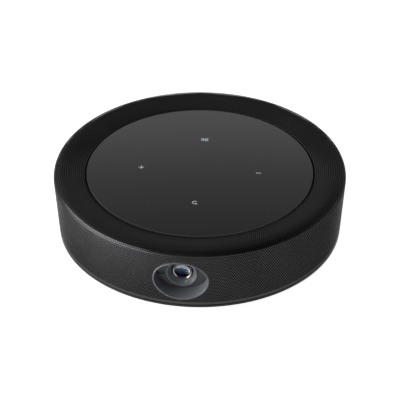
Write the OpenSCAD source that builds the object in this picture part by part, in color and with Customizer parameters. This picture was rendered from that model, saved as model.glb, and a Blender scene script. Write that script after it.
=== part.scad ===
// Round table speakerphone with a camera lens in its side.
// +Z is up, the lens looks along -Y, the ports are at +Y, and the feet stand on z = 0. Millimetres.

/* [Body] */
// Widest diameter, at the shoulder of the grille
body_d = 180; // [178:0.5:182]
// Diameter at the bottom edge of the base
base_d = 176; // [175:0.1:176.5]
// Height from the feet to the crest of the grille
body_h = 42.4; // [42:0.1:43]
// Radius of the outer shoulder
shoulder_r = 5; // [4.8:0.1:5.4]
// Radius of the slope from the crest down to the glass
slope_r = 28.7; // [28.4:0.1:29]
// Thickness of the grille sheet
mesh_t = 0.6; // [0.5:0.1:0.7]
// Wall thickness of the main frame
frame_t = 2; // [1.6:0.1:2.2]

/* [Base] */
// How far the feet stand below the base edge
foot_h = 0.4; // [0.3:0.1:0.6]
// Height of the visible base edge
base_edge_h = 1.8; // [1.6:0.1:2]
// Height of the shadow groove above the base edge
groove_h = 0.6; // [0.5:0.1:0.8]
// Number of base screws
base_screw_n = 8; // [4:4:8]

/* [Glass and keys] */
// Diameter of the touch glass
glass_d = 139.6; // [138:0.1:140]
// Thickness of the touch glass
glass_t = 2; // [1.5:0.1:2.2]
// Depth of the glass below the crest of the grille
glass_sink = 3.5; // [3.4:0.1:3.7]
// Radius of the circle that the four keys sit on
key_circle_r = 36; // [30:0.1:42]

/* [Speakers] */
// Radius of a driver's flange
driver_r = 13.8; // [13.6:0.1:13.9]
// Height of a driver's axis
driver_z = 18; // [17.9:0.1:18.1]
// Distance of the baffles from the middle
baffle_x = 76; // [75.5:0.1:76.2]
// Number of microphones
mic_n = 6; // [3:1:6]

/* [Lens] */
// Height of the middle of the lens recess
recess_z = 20; // [19.8:0.1:20.4]
// Half width of the recess at its lip
recess_a = 16.6; // [16:0.1:17]
// Half height of the recess at its lip
recess_b = 13.8; // [13.4:0.1:13.9]
// Depth of the recess floor
recess_depth = 7.5; // [7:0.1:7.6]
// Radius of the lens barrel
barrel_r = 6.1; // [5.9:0.1:6.1]

/* [Ports] */
// Width of the port bay at the rear
bay_w = 60; // [58:0.5:61]
// Height of the port bay
bay_h = 15; // [14:0.5:15.5]
// Distance of the port panel's face from the middle
panel_y = 81.5; // [81.3:0.1:81.7]
// Radius of the power button
button_r = 3.2; // [2.8:0.1:3.2]

/* [Hidden] */
$fn = 96;
eps = 0.01;

body_r = body_d / 2;
base_r = base_d / 2;
shoulder_z = body_h - shoulder_r;
slope_angle = 29.4;
oval_n = 72;

// Heights of the base
floor_z = foot_h + base_edge_h + groove_h;
groove_r = base_r - 1.8;
foot_in = 66;
foot_out = 72;
foot_seat = 1.2;

// Gap between the grille and the frame, and the frame's lip under the foot of the slope
frame_in = mesh_t + 0.4;
lip = slope_foot(frame_in) - [0.1, 0.4];
lip_t = 1.6;

// Glass stack, from the top down
glass_z = body_h - glass_sink;
bond_t = 0.3;
top_plate_t = 3;
top_plate_z = glass_z - glass_t - bond_t - top_plate_t;
touch_board_t = 1.6;
ledge_t = 2;
ledge_r = 62;
pad_hole_r = 6.4;
guide_r = 2.4;

// Small screws of the frame, drivers and boards
screw_head_r = 1.8;
screw_head_h = 1.2;
screw_r = 0.85;
pilot_r = 0.9;
screw_hole_r = 1.1;
top_screw_r = 67;
mic_r = 79;
mic_board_z = 34.2;
mic_board_t = 1.2;
boot_h = 1.9;
mic_can_r = 2;

// Base screws
base_screw_ring = 76;
base_screw_head_r = 2.3;
base_screw_r = 1.05;
base_head_depth = 1.25;
base_boss_r = 3.2;
base_boss_h = 7;

// Speaker boxes
baffle_t = 2;
box_w = 40;
cheek_t = 2;
box_cap_z = 31.8;
cap_t = 1.6;
cone_hole_r = 12;
ear_y = 16.2;

// Driver, along its axis from the rear face of the baffle
gasket_t = 0.5;
flange_back = -2;
neck_z = -10.8;
pot_back = -18.4;
pot_r = 9;
pot_bore = 7.3;
pot_floor_z = pot_back + 1.5;
magnet_r = 5.5;
magnet_h = 3.7;
pole_h = 2.2;
coil_r = 6.5;
cone_neck_r = coil_r + 0.05;

// Lens stack, along the lens axis
lens_z = recess_z + 0.9;
floor_a = 15;
floor_b = 10.9;
floor_up = 0.6;
lip_w = 0.8;
cup_depth = 9.6;
plate_t = 1.6;
shroud_r = 9.2;
shroud_seat_r = 7.9;
window_x = -12;
window_w = 3.6;
window_h = 2.5;
window_up = -0.8;
barrel_z = -9.5;
element_z = -12.4;
element_r = 5.2;
post_x = 8.4;
post_y = 5.6;
camera_depth = 26;
camera_board_t = 1.2;

// Ports
port_z = recess_z;
panel_t = 2;
port_board_y = 68;
port_board_t = 1.6;
sockets_y = port_board_y + port_board_t;
sockets_back = panel_y - panel_t - 0.2;
dc_x = 20;
usb_x = 6;
audio_x = -7;
button_x = -20;

// Boards
board_x = 46;
board_y0 = -44;
board_y1 = 46;
board_z = 11;
board_t = 1.6;
board_top = board_z + board_t;
board_posts = [[-41, -39], [41, -39], [-41, 41], [41, 41]];
chip_h = 1.6;

// Radius of the outer wall at a height
function wall_r(z) = base_r + (body_r - base_r) * (z - foot_h) / (shoulder_z - foot_h);

function reversed(p) = [for (i = [len(p) - 1:-1:0]) p[i]];

// Points on an arc round c, from angle a to angle b
function arc(c, r, a, b, n) = [for (i = [0:n]) let (t = a + (b - a) * i / n) c + r * [cos(t), sin(t)]];

function oval(a, b) = [for (i = [0:oval_n - 1]) [a * cos(360 * i / oval_n), b * sin(360 * i / oval_n)]];

function rounded(w, h, r) = concat(
    arc([w / 2 - r, h / 2 - r], r, 0, 90, 6),
    arc([r - w / 2, h / 2 - r], r, 90, 180, 6),
    arc([r - w / 2, r - h / 2], r, 180, 270, 6),
    arc([w / 2 - r, r - h / 2], r, 270, 360, 6)
);

// Inner end of the slope, set in by t
function slope_foot(t) = [body_r - shoulder_r, body_h - slope_r]
    + (slope_r - t) * [-sin(slope_angle), cos(slope_angle)];

// Profile of the drum from a bottom height to the foot of the slope, set in by t
function skin(t, bottom) = concat(
    [[wall_r(bottom) - t, bottom]],
    arc([body_r - shoulder_r, shoulder_z], shoulder_r - t, 0, 90, 12),
    arc([body_r - shoulder_r, body_h - slope_r], slope_r - t, 90 + slope_angle / 8, 90 + slope_angle, 7)
);

// The drum filled to its middle, set in by t
module drum(t) {
    rotate_extrude() polygon(concat([[0, floor_z]], skin(t, floor_z), [[0, glass_z]]));
}

module ring(r_in, r_out, z, h) {
    translate([0, 0, z]) difference() {
        cylinder(r = r_out, h = h);
        translate([0, 0, -1]) cylinder(r = r_in, h = h + 2);
    }
}

module around(n, r, first) {
    for (i = [0:n - 1]) rotate([0, 0, first + 360 * i / n]) translate([r, 0, 0]) children();
}

module at_keys() {
    around(4, key_circle_r, 0) children();
}

module at_base_screws() {
    around(base_screw_n, base_screw_ring, 180 / base_screw_n) children();
}

module at_mics() {
    around(mic_n, mic_r, 0) children();
}

module at_mic_screws() {
    around(3, mic_r, 90) children();
}

module at_top_screws() {
    around(6, top_screw_r, 30) children();
}

module at_board_posts() {
    for (p = board_posts) translate([p[0], p[1], 0]) children();
}

// A screw with its head below z = 0 and its shank above, slotted across the head
module screw(head_r, head_h, r, length) {
    slot_w = head_r * 0.3;
    slot_l = head_r * 1.3;
    slot_depth = head_h * 0.5;
    difference() {
        translate([0, 0, -head_h]) cylinder(r = head_r, h = head_h);
        for (turn = [0, 90]) rotate([0, 0, turn])
            translate([-slot_w / 2, -slot_l / 2, -head_h - 1]) cube([slot_w, slot_l, slot_depth + 1]);
    }
    cylinder(r = r, h = length);
}

module small_screw(length) {
    screw(screw_head_r, screw_head_h, screw_r, length);
}

// Base

module base_cover() {
    slot_l = 34;
    slot_w = 2.4;
    slot_pitch = 6;
    bevel = 0.4;
    post_r = 3;
    rib_r = 54;
    rib_t = 2;
    rib_h = 3;
    pinhole_r = 0.9;
    label_w = 46;
    label_h = 18;
    color("#1b1b1d") difference() {
        union() {
            rotate_extrude() polygon([
                [0, foot_h], [base_r - bevel, foot_h], [base_r, foot_h + bevel],
                [wall_r(foot_h + base_edge_h), foot_h + base_edge_h], [groove_r, foot_h + base_edge_h],
                [groove_r, floor_z], [0, floor_z]
            ]);
            at_board_posts() translate([0, 0, foot_h + 1]) cylinder(r = post_r, h = board_z - foot_h - 1);
            ring(rib_r, rib_r + rib_t, floor_z - eps, rib_h);
        }
        ring(foot_in - 0.2, foot_out + 0.2, foot_h - 1, foot_seat + 1);
        for (i = [-3:3]) translate([-slot_l / 2, i * slot_pitch - slot_w / 2, 0])
            cube([slot_l, slot_w, floor_z + 1]);
        at_base_screws() {
            translate([0, 0, foot_h - 1]) cylinder(r = base_screw_head_r + 0.3, h = base_head_depth + 1);
            cylinder(r = base_screw_r + 0.25, h = floor_z + 1);
        }
        at_board_posts() translate([0, 0, floor_z + 1]) cylinder(r = pilot_r, h = board_z);
        translate([-label_w / 2, -52, foot_h - 1]) cube([label_w, label_h, 1.4]);
        translate([30, 30, 0]) cylinder(r = pinhole_r, h = floor_z + 1);
    }
}

module foot_ring() {
    edge = 0.4;
    top = foot_h + foot_seat;
    color("#101010") rotate_extrude() polygon([
        [foot_in, top], [foot_in, edge], [foot_in + edge, 0], [foot_out - edge, 0], [foot_out, edge],
        [foot_out, top]
    ]);
}

module base_screws() {
    head_h = 1.1;
    color("#3a3a3c") at_base_screws() translate([0, 0, foot_h + base_head_depth])
        screw(base_screw_head_r, head_h, base_screw_r, base_boss_h - 0.4);
}

// Drum

module lens_prism(a, b, y0, y1) {
    translate([0, y1, recess_z]) rotate([90, 0, 0]) linear_extrude(height = y1 - y0) polygon(oval(a, b));
}

module bay_prism(grow, y0, y1) {
    translate([0, y1, port_z]) rotate([90, 0, 0]) linear_extrude(height = y1 - y0)
        polygon(rounded(bay_w + 2 * grow, bay_h + 2 * grow, 3 + grow));
}

module mesh_grille() {
    foot = slope_foot(0) - [0.1, 0.2];
    hem_h = 0.5;
    hem_t = 0.35;
    color("#26272a") difference() {
        rotate_extrude() polygon(concat(
            skin(0, floor_z),
            [foot, foot - [0, hem_h], foot + [hem_t, -hem_h]],
            reversed(skin(mesh_t, floor_z))
        ));
        lens_prism(recess_a + 0.2, recess_b + 0.2, -body_r - 5, -body_r + 20);
        bay_prism(1.7, body_r - 20, body_r + 5);
    }
}

module speaker_box(side) {
    box_h = box_cap_z + cap_t - floor_z;
    depth = body_r - baffle_x;
    mirror([side < 0 ? 1 : 0, 0, 0]) {
        translate([baffle_x, -box_w / 2, floor_z]) cube([baffle_t, box_w, box_h]);
        for (y = [-box_w / 2, box_w / 2 - cheek_t]) translate([baffle_x, y, floor_z])
            cube([depth, cheek_t, box_h]);
        translate([baffle_x, -box_w / 2, box_cap_z]) cube([depth, box_w, cap_t]);
    }
}

module main_frame() {
    boss_top = mic_board_z + mic_board_t;
    mic_boss_r = 3.6;
    mic_hole_r = 0.8;
    screw_boss_r = 2.6;
    web_l = wall_r(floor_z) - frame_in - frame_t / 2 - base_screw_ring - 2;
    web_t = 2;
    grille_window = box_w - 2 * cheek_t;
    color("#161617") difference() {
        union() {
            rotate_extrude() polygon(concat(
                skin(frame_in, floor_z),
                [lip, [lip[0], top_plate_z], [ledge_r, top_plate_z],
                 [ledge_r, top_plate_z - ledge_t], [lip[0] + lip_t, top_plate_z - ledge_t]],
                reversed(skin(frame_in + frame_t, floor_z))
            ));
            intersection() {
                union() {
                    for (side = [-1, 1]) speaker_box(side);
                    at_mics() translate([0, 0, boss_top + boot_h]) cylinder(r = mic_boss_r, h = 5);
                    at_mic_screws() translate([0, 0, boss_top]) cylinder(r = screw_boss_r, h = 7);
                }
                drum(frame_in + 0.5);
            }
            at_base_screws() {
                translate([0, 0, floor_z]) cylinder(r = base_boss_r, h = base_boss_h);
                translate([2, -web_t / 2, floor_z]) cube([web_l, web_t, base_boss_h]);
            }
        }
        for (side = [-1, 1]) {
            translate([side * (baffle_x + baffle_t + 10), 0, (floor_z + 1 + box_cap_z) / 2])
                cube([20, grille_window, box_cap_z - floor_z - 1], center = true);
            translate([side * baffle_x, 0, driver_z]) rotate([0, side * 90, 0]) {
                translate([0, 0, -1]) cylinder(r = cone_hole_r, h = baffle_t + 2);
                for (y = [-ear_y, ear_y]) translate([0, y, -1]) cylinder(r = pilot_r, h = baffle_t + 2);
            }
        }
        lens_prism(recess_a + 0.6, recess_b + 0.5, -body_r - 5, -body_r + 12);
        bay_prism(2, body_r - 20, body_r + 5);
        at_base_screws() translate([0, 0, floor_z - 1]) cylinder(r = base_screw_r + 0.05, h = base_boss_h);
        at_mics() translate([0, 0, boss_top]) cylinder(r = mic_hole_r, h = 10);
        at_mic_screws() translate([0, 0, boss_top - 1]) cylinder(r = pilot_r, h = 4);
        at_top_screws() translate([0, 0, top_plate_z - ledge_t - 1])
            cylinder(r = screw_hole_r, h = ledge_t + 2);
    }
}

// Glass and keys

module top_plate() {
    color("#131314") difference() {
        translate([0, 0, top_plate_z]) cylinder(r = lip[0] - 0.4, h = top_plate_t);
        at_keys() translate([0, 0, top_plate_z - 1]) cylinder(r = pad_hole_r, h = top_plate_t + 2);
        at_top_screws() translate([0, 0, top_plate_z - 1]) cylinder(r = pilot_r, h = 3.4);
    }
}

module glass_bond() {
    color("#0c0c0c") ring(60, glass_d / 2 - 0.6, top_plate_z + top_plate_t, bond_t);
}

module touch_glass() {
    bevel = 0.4;
    glass_r = glass_d / 2;
    low = glass_z - glass_t;
    color("#232325") rotate_extrude() polygon([
        [0, low], [glass_r - 0.2, low], [glass_r, low + 0.2], [glass_r, glass_z - bevel],
        [glass_r - bevel, glass_z], [0, glass_z]
    ]);
}

module touch_board() {
    chip = 7;
    color("#1f4a34") translate([0, 0, top_plate_z - touch_board_t]) {
        cylinder(r = 58, h = touch_board_t);
        translate([-chip / 2, -chip / 2, -1]) cube([chip, chip, 1 + eps]);
    }
}

module touch_pads() {
    color("#b87333") at_keys()
        ring(guide_r + 0.3, pad_hole_r - 0.4, top_plate_z, top_plate_t + bond_t - 0.05);
}

module light_guides() {
    color("#e8ecef") at_keys() translate([0, 0, top_plate_z + 0.6])
        cylinder(r = guide_r, h = top_plate_t + bond_t - 0.7);
}

module key_lamps() {
    color("#fff6d8") at_keys() translate([-0.8, -0.4, top_plate_z]) cube([1.6, 0.8, 0.5]);
}

module frame_screws() {
    color("#55565a") {
        at_top_screws() translate([0, 0, top_plate_z - ledge_t]) small_screw(4);
        at_mic_screws() translate([0, 0, mic_board_z]) small_screw(4);
    }
}

// Microphones

module mic_board() {
    half_w = 3.6;
    color("#1f4a34") difference() {
        ring(mic_r - half_w - 0.8, mic_r + half_w - 0.2, mic_board_z, mic_board_t);
        at_mic_screws() translate([0, 0, mic_board_z - 1]) cylinder(r = screw_hole_r, h = mic_board_t + 2);
    }
}

module mic_boots() {
    boot_t = 1.2;
    color("#0f0f0f") at_mics()
        ring(mic_can_r + 0.1, mic_can_r + 0.1 + boot_t, mic_board_z + mic_board_t, boot_h);
}

module microphones() {
    color("#c9b27a") at_mics() translate([0, 0, mic_board_z + mic_board_t]) difference() {
        cylinder(r = mic_can_r, h = 1.2);
        translate([0, 0, 0.8]) cylinder(r = 0.4, h = 1);
    }
}

// Drivers, drawn along +Z with z = 0 on the rear face of the baffle

module at_driver(side) {
    translate([side * baffle_x, 0, driver_z]) rotate([0, side * 90, 0]) children();
}

module driver_gaskets() {
    color("#0e0e0e") for (side = [-1, 1]) at_driver(side) ring(12.4, driver_r, -gasket_t, gasket_t);
}

module basket(side) {
    rim_r = cone_hole_r - 0.1;
    leg_r = driver_r - 0.6;
    leg_t = 1.1;
    neck_r = 9.4;
    neck_in = pot_bore + 0.1;
    neck_t = 1.2;
    ear_w = 6.4;
    ear_l = 5.4;
    window_l = 7.2;
    color("#2c2d30") at_driver(side) difference() {
        union() {
            rotate_extrude() polygon([
                [rim_r, -gasket_t], [driver_r, -gasket_t], [driver_r, flange_back], [leg_r, flange_back],
                [neck_r, neck_z + neck_t], [neck_r, neck_z], [neck_in, neck_z], [neck_in, neck_z + 1],
                [neck_in + leg_t, neck_z + 1.4], [leg_r - leg_t, flange_back], [rim_r, flange_back]
            ]);
            for (y = [13, -13 - ear_l]) translate([-ear_w / 2, y, flange_back])
                cube([ear_w, ear_l, -gasket_t - flange_back]);
        }
        for (turn = [45:90:315]) rotate([0, 0, turn])
            translate([neck_in + 0.2, -window_l / 2, neck_z + 2.2]) cube([8, window_l, 5.4]);
        for (y = [-ear_y, ear_y]) translate([0, y, flange_back - 1]) cylinder(r = screw_hole_r, h = 4);
    }
}

module pot(side) {
    bevel = 0.4;
    color("#8d9096") at_driver(side) rotate_extrude() polygon([
        [0, pot_back], [pot_r - bevel, pot_back], [pot_r, pot_back + bevel], [pot_r, neck_z],
        [pot_bore, neck_z], [pot_bore, pot_floor_z], [0, pot_floor_z]
    ]);
}

module driver_magnets() {
    color("#6d7076") for (side = [-1, 1]) at_driver(side)
        translate([0, 0, pot_floor_z]) cylinder(r = magnet_r, h = magnet_h);
}

module pole_plates() {
    color("#9b9ea4") for (side = [-1, 1]) at_driver(side)
        translate([0, 0, pot_floor_z + magnet_h]) cylinder(r = magnet_r + 0.25, h = pole_h);
}

module surround(side) {
    middle = [11.2, -1.9];
    roll_r = 0.65;
    roll_t = 0.3;
    color("#0d0d0d") at_driver(side) rotate_extrude()
        polygon(concat(arc(middle, roll_r, 180, 0, 12), arc(middle, roll_r - roll_t, 0, 180, 12)));
}

module cone(side) {
    rim_r = 10.45;
    rim_z = -1.7;
    neck_front = -6.6;
    color("#202124") at_driver(side) rotate_extrude() polygon([
        [cone_neck_r, neck_front - 0.6], [rim_r, rim_z - 0.5], [rim_r, rim_z], [cone_neck_r, neck_front]
    ]);
}

module dust_cap(side) {
    cap_r = 13.3;
    cap_t = 0.35;
    crown = -4.6;
    middle = [0, crown - cap_r];
    edge = acos((cone_neck_r - 0.1) / cap_r);
    color("#18191b") at_driver(side) rotate_extrude()
        polygon(concat(arc(middle, cap_r, edge, 90, 8), arc(middle, cap_r - cap_t, 90, edge, 8)));
}

module voice_coil(side) {
    former_z = -14.4;
    former_h = 7.6;
    former_t = 0.25;
    wire_t = 0.45;
    wire_h = 2.4;
    color("#b5651d") at_driver(side) {
        ring(coil_r - former_t, coil_r, former_z, former_h);
        ring(coil_r - eps, coil_r + wire_t, former_z + 0.8, wire_h);
    }
}

module driver_screws() {
    color("#55565a") for (side = [-1, 1]) at_driver(side) for (y = [-ear_y, ear_y])
        translate([0, y, flange_back]) small_screw(3.6);
}

// Lens, drawn with z = 0 on the outer wall and +Z looking out

module on_lens_axis(z = lens_z) {
    translate([0, -wall_r(z), z]) rotate([90, 0, 0]) children();
}

module oval_slab(a, b, up, z) {
    translate([0, up, z]) linear_extrude(height = eps) polygon(oval(a, b));
}

module lens_cup() {
    proud = -0.25;
    back_a = floor_a + lip_w;
    back_b = floor_b + lip_w;
    color("#2a2b2f") intersection() {
        on_lens_axis(recess_z) difference() {
            hull() {
                oval_slab(recess_a, recess_b, 0, 1);
                oval_slab(back_a, back_b, floor_up, -cup_depth);
            }
            hull() {
                oval_slab(recess_a - lip_w, recess_b - lip_w, 0, 1 + 2 * eps);
                oval_slab(floor_a, floor_b, floor_up, -recess_depth);
            }
            translate([0, floor_up, -cup_depth - 1]) linear_extrude(height = 2 + cup_depth - recess_depth)
                polygon(oval(floor_a, floor_b));
        }
        drum(proud);
    }
}

module at_posts() {
    for (x = [-post_x, post_x], y = [-post_y, post_y]) translate([x, y, 0]) children();
}

module lens_plate() {
    seam = 0.4;
    post_l = camera_depth - recess_depth - 0.5;
    color("#242529") on_lens_axis() difference() {
        union() {
            translate([0, recess_z + floor_up - lens_z, -recess_depth - plate_t])
                linear_extrude(height = plate_t) polygon(oval(floor_a - seam, floor_b - seam));
            at_posts() translate([0, 0, -camera_depth]) cylinder(r = 1.8, h = post_l);
        }
        translate([0, 0, -recess_depth - plate_t - 1]) cylinder(r = shroud_seat_r + 0.1, h = plate_t + 2);
        translate([window_x, window_up, -recess_depth - plate_t / 2])
            cube([window_w + 0.2, window_h + 0.2, plate_t + 2], center = true);
        at_posts() translate([0, 0, -camera_depth - 1]) cylinder(r = pilot_r, h = 5.5);
    }
}

module lens_shroud() {
    hole_r = barrel_r + 0.3;
    mouth_r = 8.6;
    front = -6.7;
    back = -11.5;
    bevel = 0.3;
    color("#2f3034") on_lens_axis() rotate_extrude() polygon([
        [shroud_r, -recess_depth], [shroud_r, front - bevel], [shroud_r - bevel, front],
        [mouth_r, front], [hole_r + bevel, barrel_z + 0.4], [hole_r, barrel_z], [hole_r, back],
        [shroud_seat_r, back], [shroud_seat_r, -recess_depth]
    ]);
}

module lens_barrel() {
    back = -24.5;
    bevel = 0.2;
    bore_r = 4.5;
    shelf_r = 4;
    shelf_t = 0.8;
    color("#17181a") on_lens_axis() rotate_extrude() polygon([
        [element_r, barrel_z], [barrel_r - bevel, barrel_z], [barrel_r, barrel_z - bevel],
        [barrel_r, back], [bore_r, back], [bore_r, element_z - shelf_t], [shelf_r, element_z - shelf_t],
        [shelf_r, element_z], [element_r, element_z]
    ]);
}

module lens_retainer() {
    inner_r = 4.75;
    outer_r = barrel_r - 0.2;
    crest_r = 5.4;
    color("#a9adb3") on_lens_axis() rotate_extrude() polygon([
        [inner_r, barrel_z], [outer_r, barrel_z], [outer_r, barrel_z + 0.5], [crest_r, barrel_z + 0.9],
        [inner_r, barrel_z + 0.6]
    ]);
}

module front_lens() {
    dome_r = 6.5;
    rim_r = 4.7;
    crown = -7.4;
    color("#3d5a57") on_lens_axis() rotate_extrude() polygon(concat(
        [[0, element_z], [element_r - 0.05, element_z], [element_r - 0.05, barrel_z], [rim_r, barrel_z]],
        arc([0, crown - dome_r], dome_r, acos(rim_r / dome_r), 90, 12)
    ));
}

module lens_disc(z, r, sag, edge_t) {
    ball = (r * r + sag * sag) / (2 * sag);
    side = acos(r / ball);
    rotate_extrude() polygon(concat(
        arc([0, z + edge_t / 2 + sag - ball], ball, side, 90, 8),
        arc([0, z - edge_t / 2 - sag + ball], ball, 270, 360 - side, 8)
    ));
}

module inner_lenses() {
    color("#7d9aa0") on_lens_axis() for (i = [1:3]) lens_disc(element_z + 0.8 - 3.4 * i, 4.4, 0.8, 0.8);
}

module lens_holder() {
    color("#1c1c1e") on_lens_axis() ring(barrel_r + 0.1, barrel_r + 1.8, -camera_depth, 11);
}

module camera_board() {
    board_w = 24;
    board_h = 18;
    color("#1f4a34") on_lens_axis() translate([0, 0, -camera_depth - camera_board_t]) difference() {
        translate([-board_w / 2, -board_h / 2, 0]) cube([board_w, board_h, camera_board_t]);
        at_posts() translate([0, 0, -1]) cylinder(r = screw_hole_r, h = camera_board_t + 2);
    }
}

module image_sensor() {
    color("#3b3140") on_lens_axis() translate([-3.5, -3, -camera_depth]) cube([7, 6, 1]);
}

module sensor_window() {
    window_t = 0.8;
    color("#08080a") on_lens_axis() translate([window_x, window_up, -recess_depth - 0.4 - window_t / 2])
        cube([window_w, window_h, window_t], center = true);
}

module range_sensor() {
    chip = [4.6, 3.6, 1.2];
    color("#333338") on_lens_axis()
        translate([window_x + 0.4, window_up, -recess_depth - plate_t - chip[2] / 2])
            cube(chip, center = true);
}

module camera_screws() {
    color("#55565a") on_lens_axis() at_posts()
        translate([0, 0, -camera_depth - camera_board_t]) small_screw(5);
}

// Boards

module main_board() {
    color("#1f4a34") difference() {
        translate([0, (board_y0 + board_y1) / 2, board_z]) linear_extrude(height = board_t)
            polygon(rounded(2 * board_x, board_y1 - board_y0, 6));
        at_board_posts() translate([0, 0, board_z - 1]) cylinder(r = screw_hole_r, h = board_t + 2);
    }
}

module processor() {
    chip = 16;
    color("#2b2b2d") translate([-chip / 2, -chip / 2, board_top]) cube([chip, chip, chip_h]);
}

module board_chips() {
    color("#2b2b2d") translate([0, 0, board_top]) {
        for (x = [-22, 13]) translate([x, -5, 0]) cube([9, 11, 1]);
        for (y = [-22, -12, -2]) translate([33, y, 0]) cube([6.4, 6.4, 3]);
        for (y = [12, 22]) translate([-37, y, 0]) cylinder(r = 3.2, h = 8);
        for (y = [-24, -14]) translate([-40, y, 0]) cube([7, 5, 1.2]);
        translate([-12, 30, 0]) cube([10, 8, 1.2]);
    }
}

module heat_spreader() {
    plate_w = 56;
    plate_l = 46;
    base_t = 2;
    fin_n = 9;
    fin_t = 1.4;
    fin_h = 8;
    pitch = (plate_w - fin_t) / (fin_n - 1);
    color("#9aa0a6") translate([-plate_w / 2, -plate_l / 2, board_top + chip_h]) {
        cube([plate_w, plate_l, base_t]);
        for (i = [0:fin_n - 1]) translate([i * pitch, 0, base_t - eps]) cube([fin_t, plate_l, fin_h]);
    }
}

module board_screws() {
    color("#55565a") at_board_posts() translate([0, 0, board_top]) mirror([0, 0, 1]) small_screw(5);
}

// Ports, with the panel's face towards +Y

module at_port(x, y) {
    translate([x, y, port_z]) rotate([-90, 0, 0]) children();
}

module port_panel() {
    wall = 1.5;
    back = panel_y - panel_t;
    color("#1d1e20") difference() {
        union() {
            intersection() {
                bay_prism(wall, back, body_r + 5);
                drum(-0.25);
            }
            for (x = [-26.4, 26.4]) at_port(x, sockets_y) cylinder(r = 1.5, h = back - sockets_y + eps);
        }
        bay_prism(0, panel_y, body_r + 6);
        at_port(dc_x, back - 1) cylinder(r = 4.5, h = 4);
        at_port(usb_x, back - 1) linear_extrude(height = 4) polygon(rounded(10, 4.2, 2));
        at_port(audio_x, back - 1) cylinder(r = 3.2, h = 4);
        at_port(button_x, back - 1) cylinder(r = button_r + 0.3, h = 4);
    }
}

module port_board() {
    board_w = 58;
    board_h = 17;
    color("#1f4a34") translate([-board_w / 2, port_board_y, port_z - board_h / 2])
        cube([board_w, port_board_t, board_h]);
}

module usb_socket() {
    mouth = panel_y + 0.2 - sockets_y;
    floor_y = 4;
    shell_t = 0.5;
    tongue = [6.7, 0.7, 6];
    color("#b8bbc0") at_port(usb_x, sockets_y) {
        difference() {
            linear_extrude(height = mouth) polygon(rounded(9.6, 3.8, 1.85));
            translate([0, 0, floor_y]) linear_extrude(height = mouth)
                polygon(rounded(9.6 - 2 * shell_t, 3.8 - 2 * shell_t, 1.85 - shell_t));
        }
        translate([-tongue[0] / 2, -tongue[1] / 2, floor_y - eps]) cube(tongue);
    }
}

module dc_inlet() {
    block = 9;
    back = sockets_back - sockets_y;
    face = panel_y - sockets_y;
    color("#121213") at_port(dc_x, sockets_y) {
        difference() {
            union() {
                translate([-block / 2, -block / 2, 0]) cube([block, block, back]);
                cylinder(r = 4.3, h = face);
            }
            translate([0, 0, 2]) cylinder(r = 3, h = face);
        }
        translate([0, 0, 2 - eps]) cylinder(r = 1, h = face - 3);
    }
}

module audio_socket() {
    block = 7;
    back = sockets_back - sockets_y;
    face = panel_y + 0.4 - sockets_y;
    color("#121213") at_port(audio_x, sockets_y) difference() {
        union() {
            translate([-block / 2, -block / 2, 0]) cube([block, block, back]);
            cylinder(r = 3, h = face);
        }
        translate([0, 0, 1.4]) cylinder(r = 1.8, h = face);
    }
}

module power_button() {
    stem_y = 75.8;
    flange_y = panel_y - panel_t - 1.9;
    color("#2e2f33") {
        at_port(button_x, stem_y) cylinder(r = button_r, h = panel_y + 0.8 - stem_y);
        at_port(button_x, flange_y) cylinder(r = button_r + 1.2, h = 1.6);
    }
}

module power_switch() {
    block = 6;
    color("#3b3c40") at_port(button_x, sockets_y) {
        translate([-block / 2, -block / 2, 0]) cube([block, block, 3.5]);
        cylinder(r = 1.6, h = 5.3);
    }
}

// Cables held inside

// A flat cable across X, through points in the YZ plane, with a socket at each end
module flat_cable(width, points, sockets) {
    translate([-width / 2, 0, 0]) rotate([90, 0, 90]) linear_extrude(height = width) polygon(points);
    for (s = sockets) translate([-width / 2 - 1, s[0], s[1]]) cube([width + 2, s[2], s[3]]);
}

module camera_cable() {
    start_y = camera_depth + camera_board_t - wall_r(lens_z);
    t = 0.3;
    color("#c58b3c") flat_cable(10,
        [[start_y + 1.4, 17], [-52, 17], [-42, 13.1], [-42, 13.1 + t], [-52, 17 + t],
         [start_y + 1.4, 17 + t]],
        [[start_y, 16.2, 1.5, 2], [-42.1, board_top, 4, 1.4]]);
}

module touch_cable() {
    t = 0.3;
    top = top_plate_z - touch_board_t - 0.9;
    low = board_top + 0.6;
    color("#c58b3c") flat_cable(10,
        [[43.9, low], [52, low], [52, top], [43.9, top], [43.9, top - t], [52 - t, top - t],
         [52 - t, low + t], [43.9, low + t]],
        [[40, board_top, 4, 1.4], [40, top_plate_z - touch_board_t - 1.4, 4, 1.4]]);
}

// A flat twin lead from each driver to the main board
module speaker_leads() {
    lead_w = 2.4;
    lead_t = 1.1;
    start_x = baffle_x - 18.5;
    start_z = driver_z - 2;
    bend_x = 51;
    end_x = 44;
    tip_x = end_x - 2;
    low = board_top + 0.05;
    color("#8c1d18") for (side = [-1, 1])
        translate([0, lead_w / 2, 0]) rotate([90, 0, 0]) linear_extrude(height = lead_w) polygon([
            [side * start_x, start_z], [side * bend_x, start_z], [side * end_x, low], [side * tip_x, low],
            [side * tip_x, low + lead_t], [side * (end_x + 0.4), low + lead_t],
            [side * (bend_x + 0.4), start_z + lead_t], [side * start_x, start_z + lead_t]
        ]);
}

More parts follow.
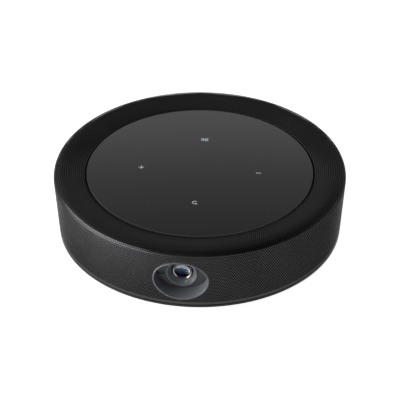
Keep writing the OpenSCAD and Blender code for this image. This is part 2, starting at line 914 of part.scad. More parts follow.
base_cover();
foot_ring();
base_screws();
main_frame();
mesh_grille();
top_plate();
glass_bond();
touch_glass();
touch_board();
touch_pads();
light_guides();
key_lamps();
frame_screws();
mic_board();
mic_boots();
microphones();
driver_gaskets();
basket(-1);  // basket_left
basket(1);  // basket_right
pot(-1);  // pot_left
pot(1);  // pot_right
driver_magnets();
pole_plates();
surround(-1);  // surround_left
surround(1);  // surround_right
cone(-1);  // cone_left
cone(1);  // cone_right
dust_cap(-1);  // dust_cap_left
dust_cap(1);  // dust_cap_right
voice_coil(-1);  // voice_coil_left
voice_coil(1);  // voice_coil_right
driver_screws();
lens_cup();
lens_plate();
lens_shroud();
lens_barrel();
lens_retainer();
front_lens();
inner_lenses();
lens_holder();
camera_board();
image_sensor();
sensor_window();
range_sensor();
camera_screws();
main_board();
processor();
board_chips();
heat_spreader();
board_screws();
port_panel();
port_board();
usb_socket();
dc_inlet();
audio_socket();
power_button();
power_switch();
camera_cable();
touch_cable();
speaker_leads();
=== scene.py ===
"""Looks of a round conference speakerphone with a camera lens in its side.

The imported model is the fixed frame. The perforated sheet, the key signs and the lens cup are modelled
here, and every other piece keeps its solid and gets a finish. Metres, +Z up, the lens looks along -Y.
"""

import logging
import math
from dataclasses import dataclass
from enum import Enum

import bmesh
import bpy
from mathutils import Matrix, Vector

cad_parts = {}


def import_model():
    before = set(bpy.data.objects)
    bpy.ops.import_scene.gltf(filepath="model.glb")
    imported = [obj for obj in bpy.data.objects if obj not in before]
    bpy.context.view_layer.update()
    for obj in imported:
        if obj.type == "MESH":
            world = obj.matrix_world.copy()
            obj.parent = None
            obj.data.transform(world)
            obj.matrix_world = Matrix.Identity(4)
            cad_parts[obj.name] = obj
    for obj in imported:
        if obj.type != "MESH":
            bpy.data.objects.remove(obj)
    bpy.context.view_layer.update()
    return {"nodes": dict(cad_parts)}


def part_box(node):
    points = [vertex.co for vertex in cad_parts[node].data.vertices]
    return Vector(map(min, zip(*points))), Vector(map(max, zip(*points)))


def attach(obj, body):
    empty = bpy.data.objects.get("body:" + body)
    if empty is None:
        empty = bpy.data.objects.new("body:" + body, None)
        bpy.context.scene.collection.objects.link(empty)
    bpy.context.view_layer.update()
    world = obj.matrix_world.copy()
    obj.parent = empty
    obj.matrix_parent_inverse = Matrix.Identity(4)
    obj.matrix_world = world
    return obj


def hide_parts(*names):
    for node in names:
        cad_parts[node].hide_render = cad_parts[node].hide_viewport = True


MM = 0.001
CASE = "case"
UP = Vector((0.0, 0.0, 1.0))
MERGE_DISTANCE = 0.01 * MM
CLOUD_SCALE = 38.0
WEAR_SCALE = 110.0

Colour = tuple[float, float, float]
Pair = tuple[float, float]

TONE_SPAN: Pair = (0.35, 0.65)
POLISH_SPAN: Pair = (0.3, 0.7)

log = logging.getLogger("speakerphone")


class Relief(Enum):
    """Kinds of fine surface relief, each a shader node group."""

    MOULDED = "moulded_relief"
    POWDER = "powder_relief"
    BRUSHED = "brushed_relief"
    DRAWN = "drawn_relief"


STRETCH: dict[Relief, tuple[float, float, float]] = {
    Relief.BRUSHED: (1.0, 1.0, 0.04),
    Relief.DRAWN: (1.0, 0.04, 1.0),
}


class Nodes:
    """Short calls that lay nodes in a tree."""

    def __init__(self, tree: bpy.types.NodeTree) -> None:
        """Keep the tree that the nodes go into."""
        self.tree = tree

    def add(self, kind: str, **values: object) -> bpy.types.Node:
        """Add a node and set its properties and sockets.

        Args:
            kind: The node's type name.
            values: Properties by their own names, and sockets by name with spaces as underscores.

        Returns:
            The new node.
        """
        node = self.tree.nodes.new(kind)
        for key, value in values.items():
            socket = node.inputs.get(key.replace("_", " "))
            if socket is not None:
                socket.default_value = value
            else:
                setattr(node, key, value)
        return node

    def link(self, start: bpy.types.NodeSocket, end: bpy.types.NodeSocket) -> None:
        """Join an output socket to an input socket."""
        self.tree.links.new(start, end)

    def ramp(self, stops: list[tuple[float, Colour]]) -> bpy.types.Node:
        """Add a colour ramp.

        Args:
            stops: The places and colours, two or more, in order.

        Returns:
            The ramp node.
        """
        node = self.add("ShaderNodeValToRGB")
        elements = node.color_ramp.elements
        while len(elements) < len(stops):
            elements.new(1.0)
        for element, (place, colour) in zip(elements, stops):
            element.position = place
            element.color = (*colour, 1.0)
        return node


def relief_group(kind: Relief) -> bpy.types.NodeTree:
    """Return the node group of a relief, built on first use.

    Args:
        kind: Which relief.

    Returns:
        A group that puts out a tone mask, a polish mask and a height, each from 0 to 1.
    """
    if kind.value in bpy.data.node_groups:
        return bpy.data.node_groups[kind.value]
    tree = bpy.data.node_groups.new(kind.value, "ShaderNodeTree")
    tree.interface.new_socket("Vector", in_out="INPUT", socket_type="NodeSocketVector")
    tree.interface.new_socket("Scale", in_out="INPUT", socket_type="NodeSocketFloat")
    for name in ("Shade", "Polish", "Height"):
        tree.interface.new_socket(name, in_out="OUTPUT", socket_type="NodeSocketFloat")
    nodes = Nodes(tree)
    given = nodes.add("NodeGroupInput")
    result = nodes.add("NodeGroupOutput")
    place = given.outputs["Vector"]
    if kind in STRETCH:
        stretch = nodes.add("ShaderNodeMapping", Scale=STRETCH[kind])
        nodes.link(place, stretch.inputs["Vector"])
        place = stretch.outputs["Vector"]
    if kind is Relief.POWDER:
        fine = nodes.add("ShaderNodeTexVoronoi", feature="SMOOTH_F1")
        height = fine.outputs["Distance"]
    else:
        fine = nodes.add("ShaderNodeTexNoise", Detail=4.0, Roughness=0.6)
        height = fine.outputs["Fac"]
    nodes.link(place, fine.inputs["Vector"])
    nodes.link(given.outputs["Scale"], fine.inputs["Scale"])
    cloud = nodes.add("ShaderNodeTexNoise", Scale=CLOUD_SCALE, Detail=3.0)
    worn = nodes.add("ShaderNodeTexNoise", Scale=WEAR_SCALE, Detail=6.0, Roughness=0.7)
    for patchy, name in ((cloud, "Shade"), (worn, "Polish")):
        nodes.link(given.outputs["Vector"], patchy.inputs["Vector"])
        nodes.link(patchy.outputs["Fac"], result.inputs[name])
    nodes.link(height, result.inputs["Height"])
    return tree


@dataclass(frozen=True)
class Finish:
    """A surface finish: two close tones, a range of roughness and a fine relief."""

    slot: str
    tone: Colour
    lift: float = 1.4
    rough: Pair = (0.42, 0.58)
    relief: Relief = Relief.MOULDED
    grain: float = 1800.0
    depth: float = 0.02 * MM
    metallic: float = 0.0
    specular: float = 0.5
    tint: Colour = (1.0, 1.0, 1.0)
    transmission: float = 0.0
    ior: float = 1.5
    film: float = 0.0
    glow: float = 0.0

    def material(self) -> bpy.types.Material:
        """Return the finish's material, built on first use."""
        name = f"{self.slot}_finish"
        if name in bpy.data.materials:
            return bpy.data.materials[name]
        made = bpy.data.materials.new(name)
        made.use_nodes = True
        made.node_tree.nodes.clear()
        nodes = Nodes(made.node_tree)
        shader = nodes.add("ShaderNodeBsdfPrincipled")
        self.set_constants(shader)
        self.dress(nodes, shader)
        output = nodes.add("ShaderNodeOutputMaterial")
        nodes.link(shader.outputs["BSDF"], output.inputs["Surface"])
        return made

    def set_constants(self, shader: bpy.types.Node) -> None:
        """Set what is the same all over the surface on the shader's own sockets."""
        constants = {
            "Metallic": self.metallic,
            "Specular IOR Level": self.specular,
            "Specular Tint": (*self.tint, 1.0),
            "Transmission Weight": self.transmission,
            "IOR": self.ior,
            "Thin Film Thickness": self.film,
            "Emission Strength": self.glow,
            "Emission Color": (*self.tone, 1.0),
        }
        for name, value in constants.items():
            shader.inputs[name].default_value = value

    def dress(self, nodes: Nodes, shader: bpy.types.Node) -> None:
        """Drive colour, roughness and normal from the finish's relief.

        Args:
            nodes: The material's nodes.
            shader: The material's shader.
        """
        place = nodes.add("ShaderNodeTexCoord")
        relief = nodes.add("ShaderNodeGroup")
        relief.node_tree = relief_group(self.relief)
        relief.inputs["Scale"].default_value = self.grain
        nodes.link(place.outputs["Object"], relief.inputs["Vector"])
        light = tuple(min(1.0, c * self.lift) for c in self.tone)
        tones = nodes.ramp([(TONE_SPAN[0], self.tone), (TONE_SPAN[1], light)])
        nodes.link(relief.outputs["Shade"], tones.inputs["Fac"])
        nodes.link(tones.outputs["Color"], shader.inputs["Base Color"])
        polish = nodes.add("ShaderNodeMapRange", From_Min=POLISH_SPAN[0], From_Max=POLISH_SPAN[1])
        polish.inputs["To Min"].default_value = self.rough[0]
        polish.inputs["To Max"].default_value = self.rough[1]
        nodes.link(relief.outputs["Polish"], polish.inputs["Value"])
        nodes.link(polish.outputs["Result"], shader.inputs["Roughness"])
        if self.depth:
            bump = nodes.add("ShaderNodeBump", Strength=1.0, Distance=self.depth)
            nodes.link(relief.outputs["Height"], bump.inputs["Height"])
            nodes.link(bump.outputs["Normal"], shader.inputs["Normal"])


@dataclass(frozen=True)
class EdgedFinish(Finish):
    """A polished finish on a disc whose rim is painted a paler, duller grey: a ground edge, and a painted
    highlight where its bevel catches the light.
    """

    edge_start: float = 69.4 * MM
    edge_full: float = 69.5 * MM
    # The rim's paler grey is partly the ground edge and partly a painted highlight of the bevel.
    edge_tone_and_highlight: Colour = (0.14, 0.142, 0.147)
    edge_rough: float = 0.6

    def dress(self, nodes: Nodes, shader: bpy.types.Node) -> None:
        """Dress the disc as usual and blend in the paler rim, a ground edge with a painted highlight, by
        its distance from the axis.

        Args:
            nodes: The material's nodes.
            shader: The material's shader.
        """
        super().dress(nodes, shader)
        place = nodes.add("ShaderNodeTexCoord")
        flat = nodes.add("ShaderNodeVectorMath", operation="MULTIPLY")
        flat.inputs[1].default_value = (1.0, 1.0, 0.0)
        nodes.link(place.outputs["Object"], flat.inputs[0])
        reach = nodes.add("ShaderNodeVectorMath", operation="LENGTH")
        nodes.link(flat.outputs["Vector"], reach.inputs[0])
        share = nodes.add("ShaderNodeMapRange", From_Min=self.edge_start, From_Max=self.edge_full)
        nodes.link(reach.outputs["Value"], share.inputs["Value"])
        for name, kind, value in (("Base Color", "RGBA", (*self.edge_tone_and_highlight, 1.0)),
                                  ("Roughness", "FLOAT", self.edge_rough)):
            blend = nodes.add("ShaderNodeMix", data_type=kind)
            factor, first, second = (next(i for i in blend.inputs if i.name == key and i.enabled)
                                     for key in ("Factor", "A", "B"))
            nodes.link(share.outputs["Result"], factor)
            nodes.link(shader.inputs[name].links[0].from_socket, first)
            second.default_value = value
            nodes.link(next(o for o in blend.outputs if o.enabled), shader.inputs[name])


GRILLE_BLACK = Finish("grille_black", (0.06, 0.06, 0.062), lift=1.15, rough=(0.2, 0.26),
                      relief=Relief.POWDER, grain=5200.0, depth=0.006 * MM, metallic=0.8, specular=0.0,
                      tint=(0.5, 0.5, 0.5))
CASE_BLACK = Finish("case_black", (0.019, 0.019, 0.02), grain=2600.0, specular=0.25)
# Near black with no sheen, darker than black plastic: partly the frame's own black, partly painted shade
# for the inside seen through the holes and the lens.
FRAME_BLACK_AND_SHADE = Finish("frame_black", (0.002, 0.002, 0.002), rough=(0.7, 0.85), grain=2200.0,
                     specular=0.0)
RUBBER_BLACK = Finish("rubber_black", (0.01, 0.01, 0.01), rough=(0.7, 0.85), grain=3200.0)
# The cover glass's rim carries a painted highlight: a paler grey ring at its edge.
COVER_GLASS = EdgedFinish("cover_glass", (0.002, 0.002, 0.002), rough=(0.02, 0.045), depth=0.0)
# The lens glass is tinted dark so that the inside of the lens shows black: painted shade.
LENS_GLASS = Finish("lens_glass", (0.22, 0.26, 0.27), lift=1.0, rough=(0.0, 0.01), depth=0.0,
                    transmission=1.0, ior=1.85, film=130.0)
LENS_BLACK = Finish("lens_black", (0.115, 0.119, 0.134), lift=1.3, rough=(0.36, 0.5), relief=Relief.DRAWN,
                    grain=1500.0, depth=0.012 * MM)
# The plate at the back of the recess is a much darker copy of the cup's grey: painted shade of the recess.
PLATE_SHADED_BLACK = Finish("plate_black", (0.018, 0.0185, 0.02), lift=1.3, rough=(0.45, 0.58), grain=2400.0)
LENS_GLOSS = Finish("lens_gloss", (0.2, 0.2, 0.21), lift=1.2, rough=(0.12, 0.2), depth=0.0, metallic=1.0)
WINDOW_DARK = Finish("window_dark", (0.003, 0.005, 0.006), rough=(0.03, 0.06), depth=0.0, specular=0.25,
                     tint=(0.6, 1.0, 0.95))
SCREW_STEEL = Finish("screw_steel", (0.12, 0.12, 0.125), rough=(0.3, 0.42), relief=Relief.BRUSHED,
                     metallic=1.0)
BRIGHT_STEEL = Finish("bright_steel", (0.55, 0.56, 0.58), rough=(0.14, 0.24), relief=Relief.BRUSHED,
                      metallic=1.0, depth=0.004 * MM)
BOARD_GREEN = Finish("board_green", (0.012, 0.07, 0.035), lift=1.8, rough=(0.3, 0.42), grain=900.0)
CHIP_BLACK = Finish("chip_black", (0.02, 0.02, 0.021), rough=(0.5, 0.62))
COPPER = Finish("copper", (0.72, 0.32, 0.14), rough=(0.24, 0.36), relief=Relief.BRUSHED, metallic=1.0)
ALUMINIUM = Finish("aluminium_plain", (0.6, 0.61, 0.62), rough=(0.3, 0.42), relief=Relief.BRUSHED,
                   metallic=1.0)
DIFFUSER = Finish("diffuser_white", (0.7, 0.72, 0.74), lift=1.1, rough=(0.4, 0.5))
FLEX_AMBER = Finish("flex_amber", (0.42, 0.2, 0.05), rough=(0.25, 0.35))
LEAD_RED = Finish("lead_red", (0.25, 0.015, 0.012), rough=(0.4, 0.5))
CONE_PAPER = Finish("cone_paper", (0.018, 0.018, 0.019), lift=1.8, rough=(0.65, 0.8), grain=1200.0,
                    depth=0.05 * MM)
MIC_BRASS = Finish("mic_brass", (0.6, 0.45, 0.2), rough=(0.25, 0.36), relief=Relief.BRUSHED, metallic=1.0)
# White print with a faint glow that is painted light, standing for the key lamps shining through.
SIGN_INK_AND_GLOW = Finish("diffuser_white_ink", (0.78, 0.84, 0.9), lift=1.05, rough=(0.35, 0.45), depth=0.0,
                  glow=0.08)

FINISHES: dict[Finish, tuple[str, ...]] = {
    CASE_BLACK: ("base_cover", "port_panel", "power_button", "dc_inlet", "audio_socket"),
    FRAME_BLACK_AND_SHADE: ("main_frame", "top_plate", "glass_bond", "basket_left", "basket_right", "lens_holder",
                  "lens_barrel", "power_switch"),
    RUBBER_BLACK: ("foot_ring", "mic_boots", "driver_gaskets", "surround_left", "surround_right"),
    COVER_GLASS: ("touch_glass",),
    LENS_GLASS: ("front_lens", "inner_lenses"),
    LENS_BLACK: ("lens_cup", "lens_shroud"),
    PLATE_SHADED_BLACK: ("lens_plate",),
    LENS_GLOSS: ("lens_retainer",),
    WINDOW_DARK: ("sensor_window", "image_sensor"),
    SCREW_STEEL: ("base_screws", "frame_screws", "driver_screws", "camera_screws", "board_screws"),
    BRIGHT_STEEL: ("usb_socket", "pot_left", "pot_right", "driver_magnets", "pole_plates"),
    BOARD_GREEN: ("touch_board", "mic_board", "camera_board", "main_board", "port_board"),
    CHIP_BLACK: ("range_sensor", "processor", "board_chips"),
    COPPER: ("touch_pads", "voice_coil_left", "voice_coil_right"),
    ALUMINIUM: ("heat_spreader",),
    DIFFUSER: ("light_guides", "key_lamps"),
    FLEX_AMBER: ("camera_cable", "touch_cable"),
    LEAD_RED: ("speaker_leads",),
    CONE_PAPER: ("cone_left", "cone_right", "dust_cap_left", "dust_cap_right"),
    MIC_BRASS: ("microphones",),
}


def finish_solids(nodes: dict[str, bpy.types.Object]) -> None:
    """Give each solid of the frame its finish.

    Args:
        nodes: The frame's nodes by name.
    """
    for finish, names in FINISHES.items():
        for name in names:
            mesh = nodes[name].data
            mesh.materials.clear()
            mesh.materials.append(finish.material())


def keep_piece(bm: bmesh.types.BMesh, name: str, finish: Finish, sharp: float) -> bpy.types.Object:
    """Turn a finished bmesh into a piece that rides on the case.

    Args:
        bm: The piece's mesh, which is freed.
        name: The piece's name.
        finish: Its finish.
        sharp: Angle in degrees above which an edge stays sharp.

    Returns:
        The new object.
    """
    mesh = bpy.data.meshes.new(name)
    bm.to_mesh(mesh)
    bm.free()
    mesh.shade_smooth()
    mesh.set_sharp_from_angle(angle=math.radians(sharp))
    mesh.materials.append(finish.material())
    piece = bpy.data.objects.new(name, mesh)
    bpy.context.scene.collection.objects.link(piece)
    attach(piece, CASE)
    log.info("%s: %d faces", name, len(mesh.polygons))
    return piece


@dataclass(frozen=True)
class Drum:
    """Outer profile of the body, with the same values as the solids."""

    base_radius: float = 88.0 * MM
    body_radius: float = 90.0 * MM
    foot: float = 0.4 * MM
    crest: float = 42.4 * MM
    shoulder_radius: float = 5.0 * MM
    slope_radius: float = 28.7 * MM
    slope_turn: float = math.radians(29.4)

    @property
    def shoulder(self) -> float:
        """Height at which the wall meets the shoulder."""
        return self.crest - self.shoulder_radius

    def wall_radius(self, height: float) -> float:
        """Radius of the side wall at a height."""
        part = (height - self.foot) / (self.shoulder - self.foot)
        return self.base_radius + (self.body_radius - self.base_radius) * part

    def wall_length(self, start: float) -> float:
        """Length of the wall's profile from a height up to the shoulder."""
        return math.hypot(self.shoulder - start, self.body_radius - self.wall_radius(start))

    def length(self, start: float) -> float:
        """Length of the whole profile from a height on the wall to the foot of the slope."""
        quarter = self.shoulder_radius * math.pi / 2.0
        return self.wall_length(start) + quarter + self.slope_radius * self.slope_turn

    def point(self, start: float, along: float) -> Pair:
        """Find a point of the profile.

        Args:
            start: Height on the wall from which the length counts.
            along: Length along the profile.

        Returns:
            Radius and height of the point.
        """
        wall = self.wall_length(start)
        middle = self.body_radius - self.shoulder_radius
        quarter = self.shoulder_radius * math.pi / 2.0
        if along <= wall:
            height = start + (self.shoulder - start) * along / wall
            return self.wall_radius(height), height
        if along <= wall + quarter:
            turn = (along - wall) / self.shoulder_radius
            low = self.shoulder
            radius = self.shoulder_radius
        else:
            turn = math.pi / 2.0 + (along - wall - quarter) / self.slope_radius
            low = self.crest - self.slope_radius
            radius = self.slope_radius
        return middle + radius * math.cos(turn), low + radius * math.sin(turn)

    def face(self, x: float, height: float, proud: float = 0.0) -> float:
        """Distance of the wall from the middle plane at a place across it.

        Args:
            x: Place across the wall.
            height: Height on the wall.
            proud: How far outside the wall.

        Returns:
            The distance along Y, without its sign.
        """
        return math.sqrt((self.wall_radius(height) + proud) ** 2 - x * x)


@dataclass(frozen=True)
class Cutout:
    """A hole through the perforated sheet, oval or a rounded box, on the front or the rear."""

    half_width: float
    half_height: float
    height: float
    side: float
    power: float

    def holds(self, place: Vector) -> bool:
        """Tell whether a point of the sheet lies in the hole."""
        if place.y * self.side < 0.0:
            return False
        across = abs(place.x) / self.half_width
        up = abs(place.z - self.height) / self.half_height
        return across ** self.power + up ** self.power < 1.0

    def cut(self, bm: bmesh.types.BMesh) -> None:
        """Take the hole out of a sheet. Its ragged edge lies under a lip."""
        gone = [f for f in bm.faces if self.holds(f.calc_center_median())]
        bmesh.ops.delete(bm, geom=gone, context="FACES")


@dataclass
class Grille:
    """The perforated sheet over the side wall, the shoulder and the slope down to the glass.

    The sheet is drawn out above the wall, so its rows stand further apart there.
    """

    drum: Drum
    cutouts: tuple[Cutout, ...]
    columns: int = 408
    sectors: int = 8
    rows: int = 47
    stretch: float = 1.22
    open_share: float = 0.78
    sheet: float = 0.25 * MM
    bottom: float = 2.8 * MM
    start: float = 4.3 * MM
    hem_folds: tuple[Pair, ...] = ((-0.1 * MM, -0.2 * MM), (-0.1 * MM, -0.7 * MM))
    sharp: float = 35.0

    @property
    def flat_length(self) -> float:
        """Length of the sheet before it is drawn out."""
        wall = self.drum.wall_length(self.start)
        return wall + (self.drum.length(self.start) - wall) / self.stretch

    @property
    def row_pitch(self) -> float:
        """Distance between rows before the sheet is drawn out."""
        return self.flat_length / (self.rows + 1.0 / 3.0)

    def point(self, flat: float) -> Pair:
        """Find the radius and height of a place on the sheet by its length before it is drawn out."""
        wall = self.drum.wall_length(self.start)
        above = max(0.0, flat - wall)
        return self.drum.point(self.start, min(flat, wall) + above * self.stretch)

    @property
    def column_turn(self) -> float:
        """Angle between holes of a row."""
        return 2.0 * math.pi / self.columns

    def add_cell(self, bm: bmesh.types.BMesh, row: int) -> None:
        """Add a six-sided cell with its hole, flat, with turns along X and lengths along Y.

        Args:
            bm: The flat column.
            row: The cell's row, counted from the bottom.
        """
        half = self.row_pitch * 2.0 / 3.0
        width = self.column_turn / 2.0
        middle = Vector((width * (row % 2), half + row * self.row_pitch, 0.0))
        shape = Matrix.Diagonal((width / math.cos(math.pi / 6.0), half, 1.0, 1.0))
        ring = bmesh.ops.create_circle(bm, cap_ends=True, segments=6, radius=1.0,
                                       matrix=Matrix.Translation(middle) @ shape)["verts"]
        cap = ring[0].link_faces[0]
        bmesh.ops.inset_individual(bm, faces=[cap], thickness=0.0)
        bmesh.ops.scale(bm, vec=(self.open_share, self.open_share, 1.0), verts=cap.verts,
                        space=Matrix.Translation(-middle))
        bmesh.ops.delete(bm, geom=[cap], context="FACES_ONLY")
        for edge_row, sign in ((0, -1.0), (self.rows - 1, 1.0)):
            if row == edge_row:
                for vert in ring:
                    if (vert.co.y - middle.y) * sign > 0.0:
                        vert.co.y = middle.y + sign * half

    def add_hem(self, bm: bmesh.types.BMesh, along: float, ends: list[Pair]) -> None:
        """Draw the sheet's plain hem out from one straight edge.

        Args:
            bm: The column, still flat, with radius and height kept in the second and third places.
            along: Length along the profile of that edge.
            ends: Radius and height of each fold of the hem, outwards from the edge.
        """
        close = self.row_pitch * 0.01
        edges = [e for e in bm.edges if all(abs(v.co.y - along) < close for v in e.verts)]
        for radius, height in ends:
            drawn = bmesh.ops.extrude_edge_only(bm, edges=edges)["geom"]
            edges = [g for g in drawn if isinstance(g, bmesh.types.BMEdge)
                     and all(v in drawn for v in g.verts)]
            for vert in (g for g in drawn if isinstance(g, bmesh.types.BMVert)):
                vert.co.y = radius
                vert.co.z = height

    def column(self) -> bmesh.types.BMesh:
        """Make one column of cells with its hems, wrapped onto the drum at angle 0."""
        bm = bmesh.new()
        for row in range(self.rows):
            self.add_cell(bm, row)
        bmesh.ops.remove_doubles(bm, verts=bm.verts, dist=self.column_turn * 0.001)
        self.add_hem(bm, 0.0, [(self.drum.wall_radius(self.bottom), self.bottom)])
        foot = Vector(self.point(self.flat_length))
        self.add_hem(bm, self.flat_length, [tuple(foot + Vector(fold)) for fold in self.hem_folds])
        for vert in bm.verts:
            turn, along, height = vert.co
            radius = along
            if height == 0.0:
                radius, height = self.point(along)
            vert.co = (radius * math.cos(turn), radius * math.sin(turn), height)
        return bm

    def sector(self) -> bpy.types.Mesh:
        """Make one sector of the open sheet, from angle 0 on."""
        bm = self.column()
        steps = self.columns // self.sectors - 1
        bmesh.ops.spin(bm, geom=bm.verts[:] + bm.edges[:] + bm.faces[:], cent=(0.0, 0.0, 0.0), axis=UP,
                       angle=steps * self.column_turn, steps=steps, use_duplicate=True)
        bmesh.ops.remove_doubles(bm, verts=bm.verts, dist=MERGE_DISTANCE)
        bmesh.ops.recalc_face_normals(bm, faces=bm.faces)
        face = max(bm.faces, key=lambda f: f.calc_center_median().xy.length)
        if face.normal.dot(face.calc_center_median()) < 0.0:
            bmesh.ops.reverse_faces(bm, faces=bm.faces)
        mesh = bpy.data.meshes.new("grille_sector")
        bm.to_mesh(mesh)
        bm.free()
        return mesh

    def build(self) -> None:
        """Make every sector, cut the lens recess and the port bay out, and stand for the plain sheet."""
        plain = self.sector()
        step = 2.0 * math.pi / self.sectors
        for index in range(self.sectors):
            bm = bmesh.new()
            bm.from_mesh(plain)
            turn = Matrix.Rotation((index - 0.5) * step, 3, "Z")
            bmesh.ops.rotate(bm, verts=bm.verts, cent=(0.0, 0.0, 0.0), matrix=turn)
            for cutout in self.cutouts:
                cutout.cut(bm)
            bmesh.ops.solidify(bm, geom=bm.faces[:], thickness=self.sheet)
            piece = keep_piece(bm, f"grille_sheet_{index + 1}", GRILLE_BLACK, self.sharp)
            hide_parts("mesh_grille")
        bpy.data.meshes.remove(plain)


@dataclass
class KeySigns:
    """The four light signs on the touch glass, which read from the side away from the lens."""

    across: float = 36.2 * MM
    along: float = 34.9 * MM
    shift: float = -0.8 * MM
    turn: float = math.radians(2.2)
    stroke: float = 0.5 * MM
    print_height: float = 0.03 * MM
    sunk: float = 0.01 * MM
    plus: float = 3.4 * MM
    minus: float = 3.2 * MM
    letter_height: float = 3.0 * MM
    letter_width: float = 2.1 * MM
    letter_gap: float = 0.45 * MM
    hook_radius: float = 1.25 * MM
    hook_run: float = 1.3 * MM
    upper_share: float = 0.6
    head: float = 0.95 * MM
    head_share: float = 0.3
    arc_steps: int = 20
    sharp: float = 30.0

    def bar(self, bm: bmesh.types.BMesh, start: Pair, end: Pair) -> None:
        """Add a straight stroke.

        Args:
            bm: The sign.
            start: One end of the stroke's middle line.
            end: Its other end.
        """
        a, b = Vector((*start, 0.0)), Vector((*end, 0.0))
        run = b - a
        place = Matrix.Translation((a + b) / 2.0) @ Matrix.Rotation(math.atan2(run.y, run.x), 4, "Z")
        shape = Matrix.Diagonal((run.length, self.stroke, 1.0, 1.0))
        bmesh.ops.create_grid(bm, x_segments=1, y_segments=1, size=0.5, matrix=place @ shape)

    def bow(self, bm: bmesh.types.BMesh, middle: Pair, radii: Pair, start: float, sweep: float) -> None:
        """Add a curved stroke, part of an oval or all of it.

        Args:
            bm: The sign.
            middle: The oval's middle.
            radii: Its half width and half height, to the middle of the stroke.
            start: Angle in degrees where the stroke starts.
            sweep: Angle in degrees that it covers.
        """
        half = self.stroke / 2.0
        across = Matrix.Rotation(math.radians(start), 3, "Z")
        ends = [bm.verts.new(across @ Vector((radii[0] + d, 0.0, 0.0))) for d in (-half, half)]
        edge = bm.edges.new(ends)
        known = set(bm.verts) - set(ends)
        bmesh.ops.spin(bm, geom=[*ends, edge], cent=(0.0, 0.0, 0.0), axis=UP, angle=math.radians(sweep),
                       steps=self.arc_steps, use_merge=sweep >= 360.0)
        drawn = [v for v in bm.verts if v not in known]
        shape = Matrix.Diagonal((1.0, radii[1] / radii[0], 1.0, 1.0))
        bmesh.ops.transform(bm, matrix=Matrix.Translation((*middle, 0.0)) @ shape, verts=drawn)

    def plus_sign(self, bm: bmesh.types.BMesh) -> None:
        """Draw the plus sign."""
        half = self.plus / 2.0
        self.bar(bm, (-half, 0.0), (half, 0.0))
        self.bar(bm, (0.0, self.stroke / 2.0), (0.0, half))
        self.bar(bm, (0.0, -self.stroke / 2.0), (0.0, -half))

    def minus_sign(self, bm: bmesh.types.BMesh) -> None:
        """Draw the minus sign."""
        half = self.minus / 2.0
        self.bar(bm, (-half, 0.0), (half, 0.0))

    def return_arrow(self, bm: bmesh.types.BMesh) -> None:
        """Draw the hooked arrow that turns back to the left."""
        r, run = self.hook_radius, self.hook_run
        upper_run = run * self.upper_share
        self.bow(bm, (0.0, 0.0), (r, r), -90.0, 180.0)
        self.bar(bm, (-run, -r), (0.0, -r))
        self.bar(bm, (-upper_run, r), (0.0, r))
        tip = Matrix.Translation((-upper_run - self.head * self.head_share, r, 0.0))
        tip = tip @ Matrix.Rotation(math.pi / 2.0, 4, "Z")
        bmesh.ops.create_circle(bm, cap_ends=True, segments=3, radius=self.head, matrix=tip)

    def confirm_letters(self, bm: bmesh.types.BMesh) -> None:
        """Draw the two letters of the confirm key."""
        half = self.letter_height / 2.0
        width = self.letter_width
        edge = self.stroke / 2.0
        left = -self.letter_gap / 2.0 - width / 2.0
        self.bow(bm, (left, 0.0), (width / 2.0 - edge, half - edge), 0.0, 360.0)
        stem = self.letter_gap / 2.0 + edge
        self.bar(bm, (stem, -half), (stem, half))
        for sign in (-1.0, 1.0):
            self.bar(bm, (stem + edge, 0.0), (stem + width - 2.0 * edge, sign * (half - edge * 0.5)))

    def build(self) -> None:
        """Make the four signs on the top of the glass."""
        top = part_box("touch_glass")[1].z - self.sunk
        signs = {
            "sign_confirm": ((0.0, self.along), self.confirm_letters),
            "sign_return": ((0.0, -self.along), self.return_arrow),
            "sign_plus": ((-self.across, 0.0), self.plus_sign),
            "sign_minus": ((self.across, 0.0), self.minus_sign),
        }
        for name, ((x, y), draw) in signs.items():
            bm = bmesh.new()
            draw(bm)
            bmesh.ops.recalc_face_normals(bm, faces=bm.faces)
            drawn = bmesh.ops.extrude_face_region(bm, geom=bm.faces[:])["geom"]
            raised = [g for g in drawn if isinstance(g, bmesh.types.BMVert)]
            bmesh.ops.translate(bm, verts=raised, vec=UP * (self.print_height + self.sunk))
            bmesh.ops.recalc_face_normals(bm, faces=bm.faces)
            place = Matrix.Rotation(self.turn, 4, "Z") @ Matrix.Translation((x, y + self.shift, top))
            bmesh.ops.transform(bm, matrix=place @ Matrix.Rotation(math.pi, 4, "Z"), verts=bm.verts)
            piece = keep_piece(bm, name, SIGN_INK_AND_GLOW, self.sharp)


